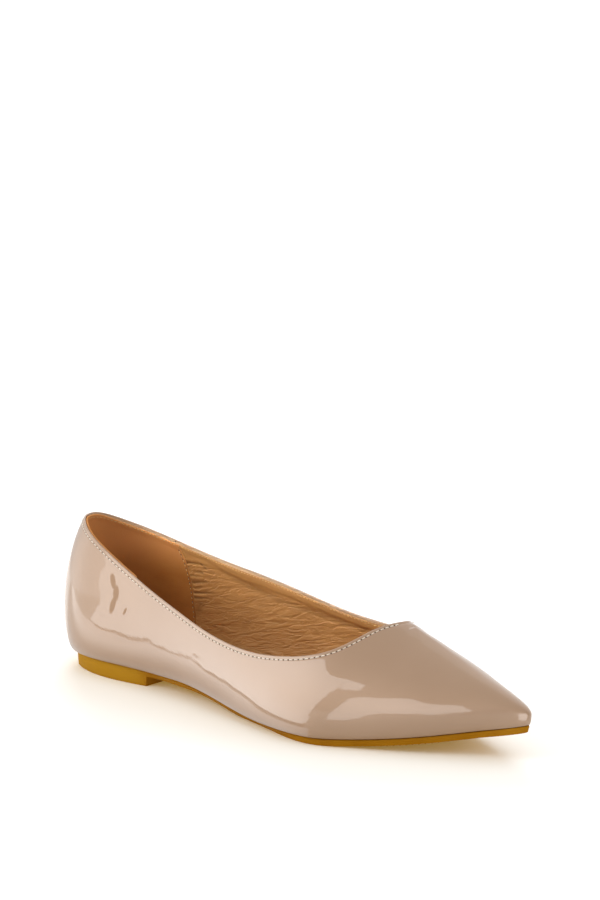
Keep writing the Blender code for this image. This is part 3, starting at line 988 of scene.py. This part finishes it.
def makeSock():
    def edge(extra):
        return lambda place: (sockShape["inset"] + extra + sockShape["toeRoom"] * ease(
            alongAt(place), sockShape["toeStart"] * shoe["length"], shoe["length"]))

    seat = shoe["wall"] + 2 * shoe["gap"]
    levels = [(edge(extra * mm), share) for extra, share in (
        (0.3, 0.0), (-0.4, 0.3), (-1.0, 0.75), (-0.7, 0.94), (0.1, 1.0))]
    sock = slabObject("insoleSock", levels, lambda x: soleTop(x) + seat,
                      lambda x: soleTop(x) + seat + shoe["insoleThickness"], counterSuede)
    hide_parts("insole")


makeSole()
makeHeel()
makeSock()
print("sole, heel block and sock made")


# Stitches
def instanceTree(template, spacing, material):
    tree = bpy.data.node_groups.new("rowOf" + template.name, "GeometryNodeTree")
    tree.interface.new_socket("Geometry", in_out="INPUT", socket_type="NodeSocketGeometry")
    pitch = tree.interface.new_socket("pitch", in_out="INPUT", socket_type="NodeSocketFloat")
    start = tree.interface.new_socket("start", in_out="INPUT", socket_type="NodeSocketFloat")
    tree.interface.new_socket("Geometry", in_out="OUTPUT", socket_type="NodeSocketGeometry")
    entry = addNode(tree, "NodeGroupInput")
    curve = addNode(tree, "GeometryNodeMeshToCurve", {"Mesh": entry.outputs["Geometry"]}).outputs[0]
    length = addNode(tree, "GeometryNodeCurveLength", {"Curve": curve}).outputs[0]
    count = calculate(tree, "DIVIDE", length, entry.outputs["pitch"])
    skipped = calculate(tree, "DIVIDE", entry.outputs["start"], count)
    trimmed = addNode(tree, "GeometryNodeTrimCurve", {"Curve": curve, "Start": skipped}).outputs[0]
    points = addNode(tree, "GeometryNodeResampleCurve", {"Curve": trimmed, "Count": count}).outputs[0]
    outward, stretch = (
        addNode(tree, "GeometryNodeInputNamedAttribute", {"Name": name}, data_type="FLOAT_VECTOR").outputs[0]
        for name in ("outward", "stretch"))
    tangent = addNode(tree, "GeometryNodeInputTangent").outputs[0]
    turn = addNode(tree, "FunctionNodeAxesToRotation", {"Primary Axis": outward, "Secondary Axis": tangent},
                   primary_axis="Z", secondary_axis="X").outputs[0]
    shape = addNode(tree, "GeometryNodeObjectInfo", {"Object": template}).outputs["Geometry"]
    placed = addNode(tree, "GeometryNodeInstanceOnPoints",
                     {"Points": points, "Instance": shape, "Rotation": turn, "Scale": stretch})
    real = addNode(tree, "GeometryNodeRealizeInstances", {"Geometry": placed.outputs[0]})
    tinted = addNode(tree, "GeometryNodeSetMaterial", {"Geometry": real.outputs[0], "Material": material})
    tree.links.new(tinted.outputs[0], addNode(tree, "NodeGroupOutput").inputs[0])
    return tree, {pitch.identifier: spacing[0], start.identifier: spacing[1]}


def capsule(name, length, radius, sink, sides=8):
    # One stitch: a thread that bows up and dips into the leather at both ends
    bm = bmesh.new()
    rings = []
    for s in np.linspace(-1, 1, 9):
        swell = math.sqrt(max(0.0, 1 - s**4)) * 0.92 + 0.08
        lift = sink * (1 - s * s) - sink * 0.35
        rings.append([bm.verts.new((s * length / 2, radius * 1.15 * swell * math.cos(t),
                                    lift + radius * 0.8 * swell * math.sin(t)))
                      for t in np.linspace(0, 2 * math.pi, sides, endpoint=False)])
    for a, b in zip(rings, rings[1:]):
        for i in range(sides):
            j = (i + 1) % sides
            bm.faces.new((a[i], b[i], b[j], a[j]))
    bm.faces.new(rings[0])
    bm.faces.new(rings[-1][::-1])
    bmesh.ops.recalc_face_normals(bm, faces=bm.faces)
    return meshObject(name, bm)


def rowObject(name, points, outward, template, spacing, material, reach=None):
    mesh = bpy.data.meshes.new(name + "Path")
    mesh.from_pydata([tuple(p) for p in points], [(i, i + 1) for i in range(len(points) - 1)], [])
    stretch = np.ones((len(points), 3))  # of each instance along its own axes
    if reach is not None:
        stretch[:, 1] = reach
    for key, values in (("outward", outward), ("stretch", stretch)):
        attribute = mesh.attributes.new(key, "FLOAT_VECTOR", "POINT")
        attribute.data.foreach_set("vector", np.asarray(values, np.float32).ravel())
    guide = addObject(name + "Guide", mesh)
    tree, inputs = instanceTree(template, spacing, material)
    modifier = guide.modifiers.new("row", "NODES")
    modifier.node_group = tree
    for key, value in inputs.items():
        modifier[key] = value
    bpy.context.view_layer.update()
    made = bpy.data.meshes.new_from_object(guide.evaluated_get(bpy.context.evaluated_depsgraph_get()))
    made.name = name
    guide.modifiers.remove(modifier)
    bpy.data.objects.remove(guide)
    obj = addObject(name, made)
    if not made.materials:
        made.materials.append(material)
    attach(obj, "root")
    return obj


def toplinePart(distance, depth, first=(0.0, 0.0), last=(7.0, 7.0)):
    # Points and outward directions on a line at a distance below the topline, from section first to
    # last on the outer and the inner side, at a depth (mm) under the patent's face
    halves = []
    for side, start, end in ((-1, first[0], last[0]), (1, first[1], last[1])):
        number, angle = rimCurve(side, distance, 260)
        kept = (number >= start) & (number <= end + 1e-6)
        number, angle = number[kept], angle[kept]
        normal = outwardNormals(side, number, angle)
        halves.append((wallPoint(around(side, number), angle) - normal * depth * mm + frameShift, normal))
    if first == (0.0, 0.0):  # round the back of the heel
        return [np.vstack([outer[:0:-1], inner]) for outer, inner in zip(*halves)]
    return [np.vstack([outer, inner[-2::-1]]) for outer, inner in zip(*halves)]  # round the throat


stitching = {
    "pitch": 2.5 * mm,
    "length": 1.8 * mm,
    "radius": 0.23 * mm,
    "liningPitch": 1.9 * mm,
    "liningLength": 1.25 * mm,
    "liningRadius": 0.14 * mm,
    "seamPitch": 2.2 * mm,
}
threadPiece = capsule("thread", stitching["length"], stitching["radius"], 0.16 * mm)
liningPiece = capsule("liningThread", stitching["liningLength"], stitching["liningRadius"], 0.12 * mm)
# Dark capsules of painted shade in the needle holes between the stitches
holeShadePiece = capsule("hole", 0.72 * mm, 0.36 * mm, 0.02 * mm)
pinHoleShadePiece = capsule("pinHole", 0.75 * mm, 0.26 * mm, 0.02 * mm)

points, outward = toplinePart(patentShape["grooveDistance"], patentShape["grooveDepth"] - 0.05)
points, outward = np.vstack([points, points[:1]]), np.vstack([outward, outward[:1]])
rowObject("toplineStitches", points, outward, threadPiece, (stitching["pitch"], 0.0), ivoryThread)
# Painted shade of the needle holes, mid-way between the stitches
rowObject("toplineHoles", points - outward * 0.06 * mm, outward, holeShadePiece,
          (stitching["pitch"], 0.5), stitchShade)

liningDepth = patentShape["foldThickness"] + liningShape["thickness"]
counterDepth = liningDepth + counterShape["thickness"]
liningSpacing = (stitching["liningPitch"], 0.0)
points, outward = toplinePart(liningShape["edge"] + 0.55, liningDepth + 0.1, first=(3.05, 2.45))
rowObject("liningStitches", points, -outward, liningPiece, liningSpacing, ochreThread)
points, outward = toplinePart(counterShape["innerEdge"] + 0.6, counterDepth + 0.05, last=(2.9, 2.3))
rowObject("counterStitches", points, -outward, liningPiece, liningSpacing, ochreThread)

seamAngles = np.linspace(31, -40, 120)
for name, side, seam in (("innerSeamHoles", 1, innerSeam), ("outerSeamHoles", -1, outerSeam)):
    angles = seamAngles if side > 0 else seamAngles[seamAngles < 8]
    number = seamNumber(side, angles, tuple((a - 0.9, h) for a, h in seam))
    outward = outwardNormals(side, number, angles)
    depth = (patentShape["thickness"] + liningShape["thickness"] + counterShape["thickness"] + 0.02) * mm
    points = wallPoint(around(side, number), angles) - outward * depth + frameShift
    # Painted shade of the seam's needle holes, then the stitches between them
    rowObject(name, points, -outward, pinHoleShadePiece, (stitching["seamPitch"], 0.0), stitchShade)
    rowObject(name.replace("Holes", "Stitches"), points - outward * 0.05 * mm, -outward, liningPiece,
              (stitching["seamPitch"], 0.5), ochreThread)
for piece in (threadPiece, liningPiece, holeShadePiece, pinHoleShadePiece):
    bpy.data.objects.remove(piece)
print("stitches made")


def ribBar():  # a rounded bar across the sole, one metre long until its row scales it
    sunk, width = 0.0002, treadShape["ribWidth"] / 2
    depth = treadShape["depth"] + sunk
    side = [(-width, -sunk), (width, -sunk), (width * 0.8, depth - 0.0003), (width * 0.45, depth - sunk),
            (-width * 0.45, depth - sunk), (-width * 0.8, depth - 0.0003)]
    bm = bmesh.new()
    ends = [[bm.verts.new((x, y, z)) for x, z in side] for y in (-0.5, 0.5)]
    skin(bm, ends)
    bm.faces.new(ends[0])
    bm.faces.new(ends[1])
    bmesh.ops.recalc_face_normals(bm, faces=bm.faces)
    return meshObject("rib", bm, smooth=False)


def ribRow(name, span, low, inset):
    # Ribs across the underside, shorter towards the ends as the outline asks
    along, inner, outer = outline(inset)
    places = np.arange(span[0], span[1], 0.002)
    inner, outer = np.interp(places, along, inner), np.interp(places, along, outer)
    points = np.column_stack([places, (inner + outer) / 2, low(places) + treadShape["depth"]]) + frameShift
    reach = np.abs(inner - outer) - 2 * treadShape["border"]
    long = reach > treadShape["shortest"]
    points, reach = points[long], reach[long]
    outward = np.tile([0.0, 0.0, -1.0], (len(points), 1))
    row = rowObject(name, points, outward, bar, (treadShape["pitch"], 0.0), goldenRubber,
                    reach)
    row.data.set_sharp_from_angle(angle=math.radians(30))


bar = ribBar()
ribRow("soleRibs", treadShape["sole"], lambda x: soleTop(x) - shoe["soleThickness"],
       lambda place: insetAt(place) + pareAt(place))
ribRow("heelRibs", treadShape["heel"], lambda x: 0 * x,
       lambda place: insetAt(place) + pareAt(place) + shoe["heelTaper"])
bpy.data.objects.remove(bar)
print("tread made")


# Floor, lights and camera
def glowMaterial(name, colour, strength, base=(0, 0, 0), fade=None):
    # fade: what to read of the place, its first and last value, and strength and colour at the last one
    material, tree, shader, place = startMaterial(name)
    glow, tint = strength, (*colour, 1)
    if fade:
        kind, first, last, lastStrength, lastColour = fade
        read = lengthOf(tree, place) if kind == "Radius" else axisOf(tree, place, kind)
        share = mapRange(tree, read, first, last, smooth=True)
        glow = mapRange(tree, share, 0, 1, strength, lastStrength)
        tint = rampColour(tree, share, ((0.0, colour), (1.0, lastColour)))
    setInputs(tree, shader, {"Base Color": (*base, 1), "Roughness": 1.0, "Specular IOR Level": 0.0,
                             "Emission Color": tint, "Emission Strength": glow})
    return material


def stagePlane(name, corners, material):
    mesh = bpy.data.meshes.new(name)
    mesh.from_pydata([tuple(c * mm for c in corner) for corner in corners], [], [tuple(range(len(corners)))])
    mesh.materials.append(material)
    plane = addObject(name, mesh)
    return plane


def addCard(name, corners, strength, fade=None):
    # A light card that only the gloss sees
    card = stagePlane(name, corners, glowMaterial(name + "Light", white, strength, fade=fade))
    card.visible_camera = False
    card.visible_diffuse = False
    card.visible_shadow = False
    card.visible_transmission = False
    card.visible_volume_scatter = False


def upright(y, outline):  # corners of a card that stands across the shoe's near side
    return [(x, y, z) for x, z in outline]


def level(z, outline):  # corners of a card that lies over the floor
    return [(x, y, z) for x, y in outline]


def addPanel(name, place, aim, size, power, spread):
    light = bpy.data.lights.new(name, "AREA")
    light.shape = "RECTANGLE"
    light.size, light.size_y = size
    light.energy = power
    light.spread = math.radians(spread)
    panel = addObject(name, light)
    panel.location = place
    panel.rotation_euler = (Vector(aim) - Vector(place)).to_track_quat("-Z", "Y").to_euler()
    panel.visible_camera = False
    panel.visible_glossy = False


studio = {
    "floorColour": (0.76, 0.81, 0.87),
    "floorGlow": 0.22,
    "floorGlowColour": (1.0, 0.65, 0.14),  # painted warm light: near the shoe the bluish floor glows orange, so its shadows look warm
    "farFloorGlow": 0.41,
    "backdrop": 1.05,
    "sidePanel": 3.8,
    "stripPanel": 3.5,
    "leftWall": 2.1,
    "leftWallBack": 0.76,
    "tableNear": 2.8,
    "tableEnd": 0.9,
    "tableGap": 0.2,
    "noseCard": 4.5,
    "toeShade": 0.7,
    "topLight": 4.0,  # watts
    "backLight": 6.5,
    "frontLight": 6.8,
    "sideLight": 0.8,
    "innerLight": 0.014,
    "world": 0.7,
}
white = (1, 1, 1)
# Outlines of the cards in their planes (mm), as the patent shows them
tableEdge = ((28, -55), (14, -53), (-1, -53), (-21, -56), (-39, -56), (-58, -57), (-74, -58), (-84, -58),
             (-100, -64), (-112, -71), (-132, -86))
outlines = {
    "sidePanel": ((-172, 0), (-160, 14), (-151, 26), (-148, 36), (-152, 46), (-154, 60), (-151, 74),
                  (-155, 91), (-150, 217), (26, 217), (49, 151), (61, 131), (74, 129), (75, 122), (75, 95),
                  (71, 71), (66, 50), (58, 33), (49, 15), (41, 0)),
    "tablePanel": ((-170, -93), (45, -93), (43, -62), (39, -56), *tableEdge, (-150, -89)),
    "tableGap": ((-170, -93), *tableEdge[::-1], (41, -56), (41, -50), (31, -50), (18, -49), (5, -48),
                 (-13, -51), (-31, -52), (-50, -53), (-66, -53), (-75, -54), (-90, -59), (-104, -65),
                 (-130, -80), (-160, -87)),
    "tableNear": ((-400, -90), (-162, -90), (-130, -80), (-104, -64), (-90, -58), (-75, -53), (-66, -52),
                  (-50, -52), (-31, -51), (-13, -50), (5, -47), (18, -48), (31, -49), (45, -50), (45, 0),
                  (-400, 0)),
    "stripPanel": ((66, 1), (70, 21), (73, 36), (74, 50), (76, 59), (80, 63), (85, 66), (90, 78), (98, 82),
                   (112, 73), (127, 60), (136, 50), (146, 36), (146, 11), (130, 11), (117, 20), (104, 20),
                   (92, 22), (84, 17), (79, 6), (75, 1)),
    "toeShade": ((114.6, 45), (115.8, 34), (117.4, 27), (118.8, 21), (118.3, 16), (117.6, 11), (137, 11),
                 (137, 70), (128, 110), (119, 90)),
    "noseCard": ((153, 0), (156, 23), (288, 141), (250, 0)),
    "noseTable": ((146, -33), (153, -50), (250, -50), (200, -22), (164, -17)),
}
# Place, aim and size (metres) and spread (degrees) of the lights; the inner one is a narrow beam over
# the near rim onto the far wall's lining
lights = {
    "topLight": ((0.0, 0.1, 1.3), (0, 0, 0), (1.6, 1.6), 180),
    "backLight": ((-0.65, 0.65, 0.48), (0, 0, 0.02), (0.5, 0.4), 180),
    "frontLight": ((-0.55, -1.0, 0.8), (0, 0, 0.05), (0.8, 0.8), 180),
    "sideLight": ((0.95, 0.25, 0.32), (0.1, 0, 0.01), (0.3, 0.2), 180),
    "innerLight": ((-0.075, -0.192, 0.262), (-0.040, 0.030, 0.062), (0.15, 0.03), 7),
}


def addStudio():
    stagePlane("floor", level(0, ((-6000, -6000), (6000, -6000), (6000, 6000), (-6000, 6000))),
               glowMaterial("paleFloor", studio["floorGlowColour"], studio["floorGlow"],
                            studio["floorColour"], ("Radius", 0.25, 0.9, studio["farFloorGlow"], white)))
    stagePlane("backdrop", upright(2600, ((-6000, -10), (6000, -10), (6000, 5000), (-6000, 5000))),
               glowMaterial("paleBackdrop", white, studio["backdrop"]))
    tableFade = ("Y", -0.060, -0.032, studio["tableEnd"], white)
    wallFade = ("Y", -0.16, 0.10, studio["leftWallBack"], white)
    for name, lay, where, strength, fade in (
        ("sidePanel", upright, -93, "sidePanel", None),
        ("tablePanel", level, 0.4, "sidePanel", None),
        ("tableGap", level, 0.35, "tableGap", None),
        ("tableNear", level, 0.3, "tableNear", tableFade),
        ("stripPanel", upright, -80, "stripPanel", None),
        ("toeShade", upright, -30, "toeShade", None),
        ("noseCard", upright, -50, "noseCard", None),
        ("noseTable", level, 0.4, "noseCard", None),
    ):
        addCard(name, lay(where, outlines[name]), studio[strength], fade)
    addCard("leftWall", ((-420, -420, 0), (-420, 260, 0), (-420, 260, 420), (-420, -420, 420)),
            studio["leftWall"], wallFade)
    for name, (place, aim, size, spread) in lights.items():
        addPanel(name, place, aim, size, studio[name], spread)
    world = bpy.data.worlds.new("studio")
    bpy.context.scene.world = world
    world.use_nodes = True
    background = world.node_tree.nodes["Background"]
    background.inputs["Color"].default_value = (1.0, 0.99, 0.97, 1)
    background.inputs["Strength"].default_value = studio["world"]


cameraView = {
    "azimuth": 40.56, "elevation": 15.36, "roll": -0.663,  # degrees
    "distance": 1.6,
    "focalPixels": 3526.0,
    "target": (0.134, 0.0, 0.03),  # from the back of the heel, on the axis
    "targetPixel": (292.8, 641.2),  # where it lies in the 600 x 900 photograph
}


def addCamera():
    view = cameraView
    a, e, r = (math.radians(view[key]) for key in ("azimuth", "elevation", "roll"))
    back = Vector((math.sin(a) * math.cos(e), -math.cos(a) * math.cos(e), math.sin(e)))
    right = Vector((math.cos(a), math.sin(a), 0))
    up = back.cross(right)
    turned = Matrix((right * math.cos(r) - up * math.sin(r), right * math.sin(r) + up * math.cos(r), back))
    x, y = view["targetPixel"]
    seen = Vector(((x - 300) / view["focalPixels"], (450 - y) / view["focalPixels"], -1)).normalized()
    aim = seen.rotation_difference(Vector((0, 0, -1))).to_matrix()
    target = Vector(view["target"]) + Vector(frameShift)
    data = bpy.data.cameras.new("camera")
    data.sensor_fit = "AUTO"
    data.sensor_width = 36
    data.lens = view["focalPixels"] / 900 * 36
    data.clip_start = 0.05
    camera = addObject("camera", data)
    camera.matrix_world = (Matrix.Translation(target + back * view["distance"])
                           @ (turned.transposed() @ aim).to_4x4())
    bpy.context.scene.camera = camera


addStudio()
addCamera()
bpy.context.scene.view_settings.view_transform = "Standard"
print("stage set")
